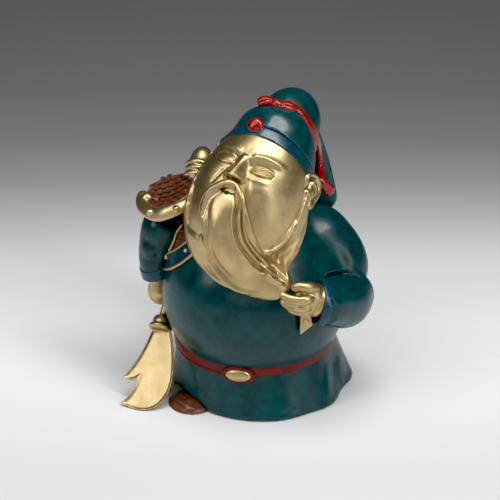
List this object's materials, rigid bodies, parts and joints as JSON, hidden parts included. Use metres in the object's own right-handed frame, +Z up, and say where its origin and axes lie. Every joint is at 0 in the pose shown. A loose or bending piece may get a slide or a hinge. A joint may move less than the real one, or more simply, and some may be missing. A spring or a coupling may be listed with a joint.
{
  "type": "statue",
  "caption": "Painted cast figure of a stout bearded warrior in a robe, head thrown back, one hand at the beard, the other holding a crescent-bladed polearm point down.",
  "frame": {"origin": "on the flat underside, near the middle of the hem", "axes": "+Z up; the figure faces -Y; its left hand is towards +X and its polearm towards -X"},
  "size_m": [0.142, 0.1363, 0.176],
  "materials": {
    "green_paint": "mottled dark teal patina paint, satin",
    "gold": "pale brushed brass, satin, darker in the recesses",
    "blue_paint": "dark blue paint, satin",
    "red_lacquer": "red lacquer, glossy",
    "brown_paint": "brown patina paint, satin"
  },
  "bodies": {
    "root": {"figure": "green_paint", "polearm": "gold"}
  },
  "joints": []
}
